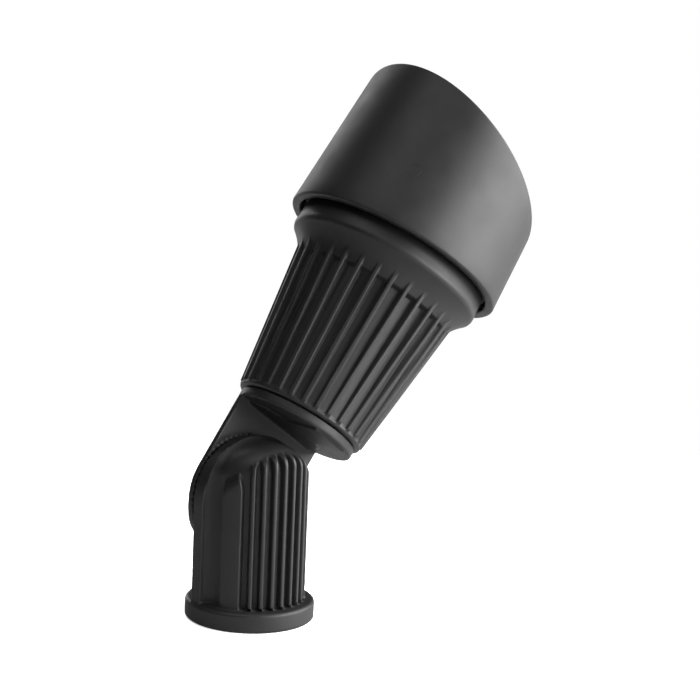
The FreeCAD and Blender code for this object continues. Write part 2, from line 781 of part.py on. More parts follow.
def make_lamp_pieces():
    face = d.lamp_face
    glass_low = face - d.lamp_glass
    rim_low = face - d.lamp_rim
    thick = d.lamp_wall
    neck = d.capsule_radius + thick
    bowl = new_body("lamp_reflector")
    outside = bowl_curve(d.lamp_neck_radius, lamp_back, d.lamp_radius - thick, rim_low)
    inside = bowl_curve(neck, lamp_back + thick, d.lamp_radius - thick * size(2), glass_low)
    rim = [(d.lamp_radius, rim_low), (d.lamp_radius, glass_low)]
    spin(bowl, "bowl", [(neck, lamp_back)] + outside + rim + inside[::-1])
    glass = ring("lamp_glass", ZERO, d.lamp_radius, glass_low, face)
    base = new_body("lamp_base")
    block = new_sketch(base, "base_outline", "XY_Plane", lift=base_bottom)
    half_width = d.lamp_base_width / 2
    half_depth = d.lamp_base_depth / 2
    rectangle(block, -half_width, half_width, -half_depth, half_depth)
    pad(base, "base_block", block, d.lamp_base_height)
    capsule = new_body("lamp_capsule")
    radius = d.capsule_radius
    tip = lamp_back + d.capsule_length
    spin(capsule, "capsule", [
        (ZERO, lamp_back),
        (radius, lamp_back),
        (radius, tip - radius, -radius),
        (ZERO, tip),
    ])
    pins = new_body("lamp_pins")
    section = new_sketch(pins, "pin_sections", "XY_Plane", lift=base_bottom)
    for side in (-1, 1):
        circle(section, d.pin_radius, d.pin_spacing * size(side) / size(2))
    pad(pins, "pins", section, d.pin_length, reverse=True)
    return [bowl, glass, base, capsule, pins]


def make_holder_pieces():
    holder = new_body("lamp_holder")
    block = new_sketch(holder, "holder_outline", "XY_Plane", lift=bracket_top)
    half_width = d.holder_width / 2
    half_depth = d.holder_depth / 2
    rectangle(block, -half_width, half_width, -half_depth, half_depth)
    pad(holder, "holder_block", block, d.holder_height)
    outer = d.pin_radius + d.contact_wall
    holes = new_sketch(holder, "pin_holes", "XY_Plane", lift=holder_top)
    contacts = new_body("holder_contacts")
    sleeves = new_sketch(contacts, "contact_sections", "XY_Plane", lift=holder_top - d.pin_length)
    for side in (-1, 1):
        across = d.pin_spacing * size(side) / size(2)
        circle(holes, outer, across)
        circle(sleeves, outer, across)
        circle(sleeves, d.pin_radius, across)
    pocket(holder, "pin_ways", holes, d.pin_length)
    pad(contacts, "contact_sleeves", sleeves, d.contact_length)
    bracket = new_body("holder_bracket")
    half = d.post_spacing / 2
    strip = new_sketch(bracket, "strip_outline", "XY_Plane", lift=bracket_bottom)
    rectangle(strip, -d.bracket_length / 2, d.bracket_length / 2, -d.bracket_width / 2, d.bracket_width / 2)
    circle(strip, d.screw_radius, half)
    circle(strip, d.screw_radius, -half)
    pad(bracket, "strip", strip, d.bracket_thickness)
    screws = new_body("bracket_screws")
    for place, lift, length, wide in (
        ("shank", bracket_top - d.screw_length, d.screw_length, d.screw_radius),
        ("head", bracket_top, d.screw_head_height, d.screw_head_radius),
    ):
        section = new_sketch(screws, place + "_sections", "XY_Plane", lift=lift)
        circle(section, wide, half)
        circle(section, wide, -half)
        pad(screws, place + "s", section, length)
    return [holder, contacts, bracket, screws]


# ---- assembly -------------------------------------------------------------------------------------

fixed = [make_lower_knuckle()] + make_hinge_pieces()
head = [make_upper_knuckle()] + make_stem_pieces()
head += [make_lamp_housing()] + make_cowl_seals()
head += [make_cowl()] + make_lens_pieces()
head += make_lamp_pieces() + make_holder_pieces()
tilted(*head)
doc.recompute()

for obj in doc.Objects:
    if "Invalid" in obj.State or "Error" in obj.State:
        raise RuntimeError(f"{obj.Name} did not build: {obj.State}")
for body in fixed + head:
    if body.Shape.isNull() or not body.Shape.isValid():
        raise RuntimeError(f"{body.Label} has no sound shape")

os.makedirs("parts", exist_ok=True)
for body in fixed + head:
    shape = body.Shape
    shape.exportStep(f"parts/{body.Label}.step")
    print(f"{body.Label}: {len(shape.Solids)} solid(s), {shape.Volume:.1f} mm3, {len(shape.Faces)} faces")
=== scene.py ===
import json
import math
import bpy
import bmesh
import numpy as np
from mathutils import Matrix, Vector


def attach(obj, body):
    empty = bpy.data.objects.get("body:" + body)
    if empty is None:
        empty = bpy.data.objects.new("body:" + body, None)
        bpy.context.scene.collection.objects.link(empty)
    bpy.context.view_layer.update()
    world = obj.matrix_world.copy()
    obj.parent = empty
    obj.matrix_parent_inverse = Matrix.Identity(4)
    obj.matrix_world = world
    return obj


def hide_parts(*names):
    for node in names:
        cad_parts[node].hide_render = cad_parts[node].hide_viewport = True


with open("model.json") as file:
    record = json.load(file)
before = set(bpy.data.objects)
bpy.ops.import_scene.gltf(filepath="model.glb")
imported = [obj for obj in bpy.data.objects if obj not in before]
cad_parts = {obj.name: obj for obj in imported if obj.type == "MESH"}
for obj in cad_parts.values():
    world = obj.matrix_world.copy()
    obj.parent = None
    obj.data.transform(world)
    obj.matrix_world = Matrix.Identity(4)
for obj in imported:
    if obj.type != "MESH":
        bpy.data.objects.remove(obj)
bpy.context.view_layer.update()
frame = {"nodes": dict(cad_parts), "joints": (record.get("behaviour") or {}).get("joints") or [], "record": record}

# Adjustable garden spotlight: black powder-coated castings, a glass lens, and the lamp behind it.
# Lengths in the settings are millimetres; meshes are in metres.

mm = 0.001
joints = {joint["name"]: joint for joint in frame["joints"]}
pivot = Vector(joints["knuckle_tilt"]["pos_m"])
headAxis = Vector(joints["head_swivel"]["axis"]).normalized()
tilt = math.atan2(headAxis.x, headAxis.z)
headPlace = Matrix.Translation(pivot) @ Matrix.Rotation(tilt, 4, "Y")  # upright head to where it rests
hingePlace = Matrix.Translation(pivot) @ Matrix.Rotation(-math.pi / 2, 4, "X")  # Z of a piece along the hinge
print("frame loaded")


def linkedObject(name, data):
    thing = bpy.data.objects.new(name, data)
    bpy.context.scene.collection.objects.link(thing)
    return thing


cameraSetup = {
    "azimuth": 41.05,  # degrees the camera stands round towards -X from the front
    "elevation": 10.91,
    "roll": 2.37,
    "distance": 700.0,
    "target": (32.3, 0.0, 70.21),
    "lens": 131.4,
    "nearest": 10.0,
}


# right, up and back of the view before the roll
def cameraBasis():
    a = math.radians(cameraSetup["azimuth"])
    e = math.radians(cameraSetup["elevation"])
    back = Vector((-math.sin(a) * math.cos(e), -math.cos(a) * math.cos(e), math.sin(e)))
    right = Vector((math.cos(a), -math.sin(a), 0.0))
    return right, back.cross(right), back


def makeCamera():
    right, up, back = cameraBasis()
    r = math.radians(cameraSetup["roll"])
    across = right * math.cos(r) + up * math.sin(r)
    upward = up * math.cos(r) - right * math.sin(r)
    data = bpy.data.cameras.new("camera")
    data.lens = cameraSetup["lens"]
    data.clip_start = cameraSetup["nearest"] * mm
    camera = linkedObject("camera", data)
    place = Matrix((across, upward, back)).transposed().to_4x4()
    place.translation = (Vector(cameraSetup["target"]) + back * cameraSetup["distance"]) * mm
    camera.matrix_world = place
    bpy.context.scene.camera = camera


lampSetup = {
    # name: (degrees round to the right of the view, elevation, distance, width, height, watts)
    "keyRight": (85.0, 12.0, 620.0, 900.0, 640.0, 16.5),
    "rimLeft": (-152.0, 14.0, 620.0, 180.0, 640.0, 1.2),
    "softTop": (-40.0, 66.0, 700.0, 420.0, 320.0, 1.0),
    "frontFill": (34.0, 8.0, 900.0, 300.0, 520.0, 0.8),
}


def makeLamps():
    right, _, back = cameraBasis()
    flatBack = Vector((back.x, back.y, 0.0)).normalized()
    target = Vector(cameraSetup["target"])
    for name, (turn, rise, away, width, height, watts) in lampSetup.items():
        side = math.radians(turn)
        lift = math.radians(rise)
        level = flatBack * math.cos(side) + right * math.sin(side)
        toward = level * math.cos(lift) + Vector((0.0, 0.0, 1.0)) * math.sin(lift)
        data = bpy.data.lights.new(name, "AREA")
        data.shape = "RECTANGLE"
        data.size = width * mm
        data.size_y = height * mm
        data.energy = watts
        lamp = linkedObject(name, data)
        lamp.location = (target + toward * away) * mm
        lamp.rotation_euler = toward.to_track_quat("Z", "Y").to_euler()


worldSetup = {
    "seen": 1.0,  # strength of the white that the camera sees
    "light": 0.04,  # strength of what it sheds on the object
}


def makeWorld():
    world = bpy.data.worlds.new("studio")
    world.use_nodes = True
    bpy.context.scene.world = world
    nodes, links = world.node_tree.nodes, world.node_tree.links
    nodes.clear()
    path = nodes.new("ShaderNodeLightPath")
    seen = nodes.new("ShaderNodeMath")
    seen.operation = "MAXIMUM"
    links.new(path.outputs["Is Camera Ray"], seen.inputs[0])
    links.new(path.outputs["Is Transmission Ray"], seen.inputs[1])
    amount = nodes.new("ShaderNodeMapRange")
    amount.inputs["To Min"].default_value = worldSetup["light"]
    amount.inputs["To Max"].default_value = worldSetup["seen"]
    links.new(seen.outputs[0], amount.inputs["Value"])
    sky = nodes.new("ShaderNodeBackground")
    sky.inputs["Color"].default_value = (1.0, 1.0, 1.0, 1.0)
    links.new(amount.outputs["Result"], sky.inputs["Strength"])
    out = nodes.new("ShaderNodeOutputWorld")
    links.new(sky.outputs[0], out.inputs["Surface"])


def emptyMaterial(name):
    material = bpy.data.materials.new(name)
    material.use_nodes = True
    nodes, links = material.node_tree.nodes, material.node_tree.links
    nodes.clear()
    out = nodes.new("ShaderNodeOutputMaterial")
    return material, nodes, links, out.inputs["Surface"]


def newMaterial(name):
    material, nodes, links, surface = emptyMaterial(name)
    shader = nodes.new("ShaderNodeBsdfPrincipled")
    links.new(shader.outputs[0], surface)
    return material, nodes, links, shader


def noiseOf(nodes, links, scale, detail):
    where = nodes.new("ShaderNodeTexCoord")
    noise = nodes.new("ShaderNodeTexNoise")
    noise.inputs["Scale"].default_value = scale
    noise.inputs["Detail"].default_value = detail
    links.new(where.outputs["Object"], noise.inputs["Vector"])
    return noise.outputs["Fac"]


def rampOf(nodes, links, source, low, high, start=0.3, stop=0.7):
    ramp = nodes.new("ShaderNodeMapRange")
    ramp.inputs["From Min"].default_value = start
    ramp.inputs["From Max"].default_value = stop
    ramp.inputs["To Min"].default_value = low
    ramp.inputs["To Max"].default_value = high
    links.new(source, ramp.inputs["Value"])
    return ramp.outputs["Result"]


def tintOf(nodes, links, factor, dark, light):
    mix = nodes.new("ShaderNodeMix")
    mix.data_type = "RGBA"
    mix.inputs["A"].default_value = (*dark, 1.0)
    mix.inputs["B"].default_value = (*light, 1.0)
    links.new(factor, mix.inputs["Factor"])
    return mix.outputs["Result"]


def bumpOf(nodes, links, height, strength, depth):
    bump = nodes.new("ShaderNodeBump")
    bump.inputs["Strength"].default_value = strength
    bump.inputs["Distance"].default_value = depth * mm
    links.new(height, bump.inputs["Height"])
    return bump.outputs[0]


def greyDiffuse(nodes, level):
    shader = nodes.new("ShaderNodeBsdfDiffuse")
    shader.inputs["Color"].default_value = (level, level, level, 1.0)
    return shader.outputs[0]


def mixShaders(nodes, links, share, first, second):
    mix = nodes.new("ShaderNodeMixShader")
    links.new(share, mix.inputs["Fac"])
    links.new(first, mix.inputs[1])
    links.new(second, mix.inputs[2])
    return mix.outputs[0]


floorSetup = {
    "half": 30000.0,
    "gap": 0.03,
    "grey": 0.8,  # what the floor gives back to the object
    "shadowShade": 0.62,  # how light the deepest shadow is seen
    "shadowLift": 2.2,  # how quickly the shadow thins out
    "shadowReach": (90.0, 260.0),  # from the first distance on the shadow fades, and it ends at the second
}


# white to the camera except for the object's own soft shadow, and clear from below
def makeFloorFinish():
    material, nodes, links, surface = emptyMaterial("paleFloor")
    glow = nodes.new("ShaderNodeEmission")
    glow.inputs["Strength"].default_value = floorSetup["shadowShade"]
    shadow = nodes.new("ShaderNodeAddShader")
    links.new(greyDiffuse(nodes, floorSetup["shadowLift"]), shadow.inputs[0])
    links.new(glow.outputs[0], shadow.inputs[1])
    where = nodes.new("ShaderNodeTexCoord")
    away = nodes.new("ShaderNodeVectorMath")
    away.operation = "LENGTH"
    links.new(where.outputs["Object"], away.inputs[0])
    near, far = floorSetup["shadowReach"]
    fade = rampOf(nodes, links, away.outputs["Value"], 0.0, 1.0, near * mm, far * mm)
    white = nodes.new("ShaderNodeEmission")
    seen = mixShaders(nodes, links, fade, shadow.outputs[0], white.outputs[0])
    path = nodes.new("ShaderNodeLightPath")
    plain = greyDiffuse(nodes, floorSetup["grey"])
    above = mixShaders(nodes, links, path.outputs["Is Camera Ray"], plain, seen)
    side = nodes.new("ShaderNodeNewGeometry")
    clear = nodes.new("ShaderNodeBsdfTransparent")
    both = mixShaders(nodes, links, side.outputs["Backfacing"], above, clear.outputs[0])
    links.new(both, surface)
    return material


def makeFloor():
    mesh = bpy.data.meshes.new("floor")
    h = floorSetup["half"] * mm
    low = -floorSetup["gap"] * mm
    mesh.from_pydata([(-h, -h, low), (h, -h, low), (h, h, low), (-h, h, low)], [], [(0, 1, 2, 3)])
    mesh.materials.append(makeFloorFinish())
    floor = linkedObject("floor", mesh)


bpy.context.scene.view_settings.view_transform = "Standard"
makeCamera()
makeLamps()
makeWorld()
makeFloor()
print("camera and lights set")


coatLook = {
    "dark": (0.0125, 0.0125, 0.0135),
    "light": (0.0180, 0.0168, 0.0176),
    "rough": (0.48, 0.56),
    "mottleScale": 160.0,
    "mottleDetail": 5.0,
    "grainScale": 5200.0,
    "grainDetail": 2.0,
    "grain": (0.5, 0.02),  # strength and depth
}


# fine matt powder coat: a tight grain and a faint mottle
def makeBlackCoat():
    material, nodes, links, shader = newMaterial("blackCoat")
    look = coatLook
    grain = noiseOf(nodes, links, look["grainScale"], look["grainDetail"])
    mottle = noiseOf(nodes, links, look["mottleScale"], look["mottleDetail"])
    tone = rampOf(nodes, links, mottle, 0.0, 1.0)
    links.new(tintOf(nodes, links, tone, look["dark"], look["light"]), shader.inputs["Base Color"])
    links.new(rampOf(nodes, links, mottle, *look["rough"]), shader.inputs["Roughness"])
    links.new(bumpOf(nodes, links, grain, *look["grain"]), shader.inputs["Normal"])
    return material


steelLook = {
    "dark": (0.42, 0.42, 0.43),
    "light": (0.54, 0.54, 0.55),
    "rough": (0.3, 0.44),
    "scale": 900.0,
    "detail": 6.0,
    "metal": 1.0,
}
brassLook = {
    "dark": (0.62, 0.43, 0.17),
    "light": (0.78, 0.60, 0.30),
    "rough": (0.24, 0.42),
    "scale": 700.0,
    "detail": 6.0,
    "metal": 1.0,
}
mirrorLook = {
    "dark": (0.80, 0.80, 0.82),
    "light": (0.90, 0.90, 0.91),
    "rough": (0.06, 0.14),
    "scale": 300.0,
    "detail": 4.0,
    "metal": 1.0,
}
rubberLook = {
    "dark": (0.012, 0.012, 0.012),
    "light": (0.024, 0.024, 0.025),
    "rough": (0.5, 0.7),
    "scale": 1500.0,
    "detail": 3.0,
    "bump": (0.3, 0.02),  # strength and depth
}
ceramicLook = {
    "dark": (0.78, 0.76, 0.70),
    "light": (0.86, 0.84, 0.79),
    "rough": (0.45, 0.6),
    "scale": 500.0,
    "detail": 5.0,
    "bump": (0.3, 0.03),
}


# an opaque material whose tone and roughness vary with one fine noise
def makeSolid(name, look):
    material, nodes, links, shader = newMaterial(name)
    fine = noiseOf(nodes, links, look["scale"], look["detail"])
    tone = rampOf(nodes, links, fine, 0.0, 1.0)
    links.new(tintOf(nodes, links, tone, look["dark"], look["light"]), shader.inputs["Base Color"])
    links.new(rampOf(nodes, links, fine, *look["rough"]), shader.inputs["Roughness"])
    shader.inputs["Metallic"].default_value = look.get("metal", 0.0)
    if "bump" in look:
        links.new(bumpOf(nodes, links, fine, *look["bump"]), shader.inputs["Normal"])
    return material


lensLook = {"tint": (0.96, 0.985, 0.98), "rough": (0.015, 0.03), "scale": 120.0, "detail": 3.0}
envelopeLook = {"tint": (0.98, 0.985, 0.99), "rough": (0.01, 0.02), "scale": 120.0, "detail": 3.0}
glassIndex = 1.5


def makeGlass(name, look):
    material, nodes, links, shader = newMaterial(name)
    haze = noiseOf(nodes, links, look["scale"], look["detail"])
    shader.inputs["Base Color"].default_value = (*look["tint"], 1.0)
    links.new(rampOf(nodes, links, haze, *look["rough"]), shader.inputs["Roughness"])
    shader.inputs["Transmission Weight"].default_value = 1.0
    shader.inputs["IOR"].default_value = glassIndex
    return material


finishes = {
    "black_coat": makeBlackCoat(),
    "steel": makeSolid("brightSteel", steelLook),
    "brass": makeSolid("turnedBrass", brassLook),
    "seal": makeSolid("sealRubber", rubberLook),
    "lens_glass": makeGlass("lensGlass", lensLook),
    "lamp_mirror": makeSolid("lampMirror", mirrorLook),
    "lamp_clear": makeGlass("lampClear", envelopeLook),
    "lamp_ceramic": makeSolid("lampCeramic", ceramicLook),
}
slotOf = {part["node"]: part["material_slot"] for part in frame["record"]["subparts"]}


def dressNode(node):
    mesh = frame["nodes"][node].data
    mesh.materials.clear()
    mesh.materials.append(finishes[slotOf[node]])


for node in frame["nodes"]:
    dressNode(node)
print("materials made")


welds = {
    # metres within which two points are taken as one
    "skin": 1e-7,
    "casting": 1e-6,
    "sector": 2e-6,
}


# a finished piece, with its place in its mesh
def newPiece(name, mesh, body, slot, replaced=()):
    piece = linkedObject(name, mesh)
    mesh.materials.clear()
    mesh.materials.append(finishes[slot])
    for face in mesh.polygons:
        face.use_smooth = True
    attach(piece, body)
    if replaced:
        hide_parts(*replaced)


# the points that lie together made one, and the faces of a closed mesh turned outward
def welded(mesh, reach, closed=True):
    work = bmesh.new()
    work.from_mesh(mesh)
    bmesh.ops.remove_doubles(work, verts=work.verts, dist=reach)
    if closed:
        bmesh.ops.recalc_face_normals(work, faces=work.faces)
    work.to_mesh(mesh)
    work.free()
    return mesh


# faces between rows of points of equal count, closed round each row or open at its ends
def gridFaces(rows, count, closed):
    faces = []
    for row in range(rows - 1):
        for i in range(count if closed else count - 1):
            here, beside = row * count + i, row * count + (i + 1) % count
            faces.append((here, beside, beside + count, here + count))
    return faces


# a point about the Z axis, from millimetres to metres
def turnedPoint(radius, angle, height):
    return radius * math.cos(angle) * mm, radius * math.sin(angle) * mm, height * mm


# a skin over rings of equal count, whose first and last ring are one ring or a point each
def latheMesh(name, rings, place):
    mesh = bpy.data.meshes.new(name)
    points = [place @ Vector(point) for ring in rings for point in ring]
    mesh.from_pydata(points, [], gridFaces(len(rings), len(rings[0]), True))
    return welded(mesh, welds["skin"])


# points of a round from start to stop, in degrees, in a profile of radius and height
def arcPoints(centre, radius, start, stop, steps):
    turns = [math.radians(start + (stop - start) * i / steps) for i in range(steps + 1)]
    return [(centre[0] + radius * math.cos(t), centre[1] + radius * math.sin(t)) for t in turns]


# the plain mesh that an object's modifiers leave
def bakedMesh(holder):
    bpy.context.view_layer.update()
    result = bpy.data.meshes.new_from_object(holder.evaluated_get(bpy.context.evaluated_depsgraph_get()))
    holder.modifiers.clear()
    bpy.data.objects.remove(holder)
    return result


# a copy of a casting's mesh, so that the node stays as it is
def castingCopy(node, name):
    mesh = frame["nodes"][node].data.copy()
    mesh.name = name
    return welded(mesh, welds["casting"], closed=False)


# even voxels, smoothed so that edges are rounded as a coat of powder rounds them
def softened(mesh, voxel, rounds):
    holder = linkedObject(mesh.name + "Work", mesh)
    remesh = holder.modifiers.new("voxels", "REMESH")
    remesh.mode = "VOXEL"
    remesh.voxel_size = voxel * mm
    holder.modifiers.new("soften", "SMOOTH").iterations = rounds
    return bakedMesh(holder)


def thinned(mesh, keep):
    holder = linkedObject(mesh.name + "Thin", mesh)
    holder.modifiers.new("thin", "DECIMATE").ratio = keep
    return bakedMesh(holder)


leastWidth = 1e-6  # stands in for nought where something is divided by it


# the larger of two arrays, rounded over a width where they cross
def roundMax(a, b, width):
    gap = np.maximum(width - np.abs(a - b), 0.0)
    return np.maximum(a, b) + gap * gap / (4.0 * np.maximum(width, leastWidth))


# points of a mesh in the millimetres of its place, and back
def pointsOf(mesh, place):
    flat = np.empty(len(mesh.vertices) * 3)
    mesh.vertices.foreach_get("co", flat)
    inward = np.array(place.inverted())
    return (flat.reshape(-1, 3) @ inward[:3, :3].T + inward[:3, 3]) / mm


def putPoints(mesh, place, points):
    outward = np.array(place)
    mesh.vertices.foreach_set("co", ((points * mm) @ outward[:3, :3].T + outward[:3, 3]).ravel())
    mesh.update()


skinSearch = {
    "reach": 4.0,  # how far along its ray a point may be drawn
    "halvings": 18,
    "presses": 5,
    "probe": 0.02,  # half the distance over which a slope is measured
    "leastSlope": 0.25,  # squared
    "longest": 0.3,  # of one press
}


# draws the points near a skin along rays from a column's axis onto it, so that every ray is met once
def drawnOn(points, skin, deepest, level):
    start, share = skin(points)
    chosen = (share > 0.0) & (start > -deepest)
    base = points[chosen]
    root = np.zeros_like(base)
    root[:, 2] = np.minimum(base[:, 2], level) if level > 0.0 else np.maximum(base[:, 2], level)
    ray = base - root
    length = np.linalg.norm(ray, axis=1)[:, None]
    ray = ray / length
    low, high = length - skinSearch["reach"], length + skinSearch["reach"]
    for _ in range(skinSearch["halvings"]):
        middle = (low + high) / 2
        outside = skin(root + ray * middle)[0][:, None] > 0.0
        high = np.where(outside, middle, high)
        low = np.where(outside, low, middle)
    points[chosen] += (root + ray * low - base) * share[chosen][:, None]
    return points


# presses the points near a skin onto its nearest place
def pressedOn(points, skin, deepest):
    start, share = skin(points)
    chosen = (share > 0.0) & (start > -deepest)
    moved = points[chosen].copy()
    probe, longest = skinSearch["probe"], skinSearch["longest"]
    for _ in range(skinSearch["presses"]):
        value = skin(moved)[0]
        rises = [skin(moved + probe * axis)[0] - skin(moved - probe * axis)[0] for axis in np.eye(3)]
        slope = np.stack(rises, axis=1) / (2.0 * probe)
        steep = np.maximum((slope**2).sum(axis=1), skinSearch["leastSlope"])
        moved -= slope * (np.clip(value, -longest, longest) / steep)[:, None]
    points[chosen] += (moved - points[chosen]) * share[chosen][:, None]
    return points


# runs a node tree on a mesh and gives the plain result; settings are named inputs
def evaluatedMesh(name, source, tree, settings):
    holder = linkedObject(name, source)
    modifier = holder.modifiers.new(name, "NODES")
    modifier.node_group = tree
    for item in tree.interface.items_tree:
        if item.item_type == "SOCKET" and item.in_out == "INPUT" and item.name in settings:
            modifier[item.identifier] = settings[item.name]
    result = bakedMesh(holder)
    result.name = name
    return result


def addInput(tree, name, kind, value=None):
    socket = tree.interface.new_socket(name, in_out="INPUT", socket_type=kind)
    if value is not None:
        socket.default_value = value


# turns copies of a piece round its Z axis and welds them where they meet
def makeRepeatTree():
    tree = bpy.data.node_groups.new("repeatRound", "GeometryNodeTree")
    addInput(tree, "Geometry", "NodeSocketGeometry")
    addInput(tree, "Count", "NodeSocketInt", 12)
    addInput(tree, "First Turn", "NodeSocketFloat", 0.0)
    addInput(tree, "Step Turn", "NodeSocketFloat", 0.1)
    addInput(tree, "Weld", "NodeSocketFloat", 0.000001)
    addInput(tree, "Finish", "NodeSocketMaterial")
    tree.interface.new_socket("Geometry", in_out="OUTPUT", socket_type="NodeSocketGeometry")
    nodes, links = tree.nodes, tree.links
    inputs = nodes.new("NodeGroupInput")
    single = nodes.new("GeometryNodeGeometryToInstance")
    copies = nodes.new("GeometryNodeDuplicateElements")
    copies.domain = "INSTANCE"
    turn = nodes.new("ShaderNodeMath")
    turn.operation = "MULTIPLY_ADD"
    angles = nodes.new("ShaderNodeCombineXYZ")
    rotate = nodes.new("GeometryNodeRotateInstances")
    real = nodes.new("GeometryNodeRealizeInstances")
    weld = nodes.new("GeometryNodeMergeByDistance")
    finish = nodes.new("GeometryNodeSetMaterial")
    out = nodes.new("NodeGroupOutput")
    links.new(inputs.outputs["Geometry"], single.inputs[0])
    links.new(single.outputs[0], copies.inputs["Geometry"])
    links.new(inputs.outputs["Count"], copies.inputs["Amount"])
    links.new(copies.outputs["Duplicate Index"], turn.inputs[0])
    links.new(inputs.outputs["Step Turn"], turn.inputs[1])
    links.new(inputs.outputs["First Turn"], turn.inputs[2])
    links.new(turn.outputs[0], angles.inputs["Z"])
    links.new(copies.outputs["Geometry"], rotate.inputs["Instances"])
    links.new(angles.outputs[0], rotate.inputs["Rotation"])
    links.new(rotate.outputs[0], real.inputs[0])
    links.new(real.outputs[0], weld.inputs["Geometry"])
    links.new(inputs.outputs["Weld"], weld.inputs["Distance"])
    links.new(weld.outputs[0], finish.inputs["Geometry"])
    links.new(inputs.outputs["Finish"], finish.inputs["Material"])
    links.new(finish.outputs[0], out.inputs[0])
    return tree


# a wire, thread or filament wound about the Z axis
def makeSpiralTree():
    tree = bpy.data.node_groups.new("spiral", "GeometryNodeTree")
    addInput(tree, "Geometry", "NodeSocketGeometry")
    addInput(tree, "Turns", "NodeSocketFloat", 7.0)
    addInput(tree, "Radius", "NodeSocketFloat", 0.009)
    addInput(tree, "Height", "NodeSocketFloat", 0.012)
    addInput(tree, "Section", "NodeSocketFloat", 0.0006)
    addInput(tree, "Section Corners", "NodeSocketInt", 4)
    addInput(tree, "Turn Steps", "NodeSocketInt", 48)
    addInput(tree, "Finish", "NodeSocketMaterial")
    tree.interface.new_socket("Geometry", in_out="OUTPUT", socket_type="NodeSocketGeometry")
    nodes, links = tree.nodes, tree.links
    inputs = nodes.new("NodeGroupInput")
    spiral = nodes.new("GeometryNodeCurveSpiral")
    links.new(inputs.outputs["Turn Steps"], spiral.inputs["Resolution"])
    section = nodes.new("GeometryNodeCurvePrimitiveCircle")
    sweep = nodes.new("GeometryNodeCurveToMesh")
    sweep.inputs["Fill Caps"].default_value = True
    real = nodes.new("GeometryNodeRealizeInstances")
    finish = nodes.new("GeometryNodeSetMaterial")
    out = nodes.new("NodeGroupOutput")
    links.new(inputs.outputs["Turns"], spiral.inputs["Rotations"])
    links.new(inputs.outputs["Radius"], spiral.inputs["Start Radius"])
    links.new(inputs.outputs["Radius"], spiral.inputs["End Radius"])
    links.new(inputs.outputs["Height"], spiral.inputs["Height"])
    links.new(inputs.outputs["Section Corners"], section.inputs["Resolution"])
    links.new(inputs.outputs["Section"], section.inputs["Radius"])
    links.new(spiral.outputs["Curve"], sweep.inputs["Curve"])
    links.new(section.outputs["Curve"], sweep.inputs["Profile Curve"])
    links.new(sweep.outputs[0], real.inputs[0])
    links.new(real.outputs[0], finish.inputs["Geometry"])
    links.new(inputs.outputs["Finish"], finish.inputs["Material"])
    links.new(finish.outputs[0], out.inputs[0])
    return tree


repeatTree = makeRepeatTree()
spiralTree = makeSpiralTree()


# a round piece of the head: rows of points of one sector, repeated about the axis and welded
def repeatedSector(name, rows, copies, firstTurn, slot, node):
    sector = bpy.data.meshes.new(name + "Sector")
    points = [turnedPoint(*point) for row in rows for point in row]
    sector.from_pydata(points, [], gridFaces(len(rows), len(rows[0]), False))
    settings = {
        "Count": copies,
        "First Turn": firstTurn,
        "Step Turn": 2 * math.pi / copies,
        "Weld": welds["sector"],
        "Finish": finishes[slot],
    }
    mesh = welded(evaluatedMesh(name, sector, repeatTree, settings), welds["skin"])
    mesh.transform(headPlace)
    newPiece(name, mesh, "head", slot, (node,))


lowerKnuckle = {
    "voxels": (0.26, 0.2),  # of the first and second remeshing
    "rounds": (2, 1),  # of smoothing after each
    "keep": 0.28,  # share of the faces left in the end
    "core": 13.05,  # radius of the wall between the ribs
    "crown": 16.4,  # radius about the hinge
    "way": 1.0,  # the crown is over the hinge
    "dome": 7.2,  # width over which the wall rounds into the crown
    "from": -26.9,  # heights over the hinge between which the skin is formed
    "to": 40.0,
    "fade": 0.5,
    "front": -1.0,  # the column is on the -Y side of the plate's face
    "face": 1.05,
    "bore": 0.0,  # radius about the hinge that is left as it is
    "deepest": 2.2,  # points further inside than this stay
    "level": 4.0,  # height of the axis's end, where the rays fan out
    "ribs": 3,  # on either side of the middle one
    "pitch": 12.0,  # degrees
    "phase": 3.0,
    "column": 14.8,  # radius over the ribs
    "crest": 0.5,  # half a rib's width at its top and its foot
    "root": 0.85,
    "ribTop": 14.7,  # distance from the hinge at which a rib ends
    "ribRound": 3.6,
    "tongues": ((61.5, 11.0), (-60.0, 13.0)),  # middle and half width, in degrees
    "arch": (4.6, 0.52),  # height over the hinge where a tongue's round end starts, and its flattening
    "cove": 3.6,  # hollow round between the wall and the plate
    "soft": 0.4,
}
upperKnuckle = {
    # the keys mean what they do for the lower half
    "voxels": (0.26, 0.2),
    "rounds": (2, 1),
    "keep": 0.4,
    "core": 14.6,
    "crown": 16.4,
    "way": -1.0,  # the crown is under the hinge
    "dome": 9.5,
    "from": -40.0,
    "to": 21.8,
    "fade": 0.5,
    "front": 1.0,
    "face": -7.45,
    "bore": 6.1,
    "deepest": 1.2,
    "level": -4.0,
    "ribs": None,
}


leastRound = 1e-3  # added to a rounding that may shrink to nought


# how far points lie outside a column's ribs and tongues
def ribSkin(k, x, y, z, fromAxis, fromHinge, bend):
    turn = np.degrees(np.arctan2(-x, -y))
    nearest = np.clip(np.round((turn - k["phase"]) / k["pitch"]), -k["ribs"], k["ribs"]) * k["pitch"]
    perDegree = math.radians(k["column"])
    flare = (k["root"] - k["crest"]) * (k["column"] - fromAxis) / (k["column"] - k["core"])
    side = np.abs(turn - (nearest + k["phase"])) * perDegree - k["crest"]
    for middle, half in k["tongues"]:
        wide = (turn - middle) * perDegree
        high = np.maximum(z - k["arch"][0], 0.0) * k["arch"][1]
        side = np.minimum(side, np.hypot(wide, high) - half * perDegree)
    top = roundMax(fromAxis - k["column"], fromHinge - k["ribTop"], k["ribRound"] * bend + leastRound)
    return roundMax(top, side - flare, k["soft"])


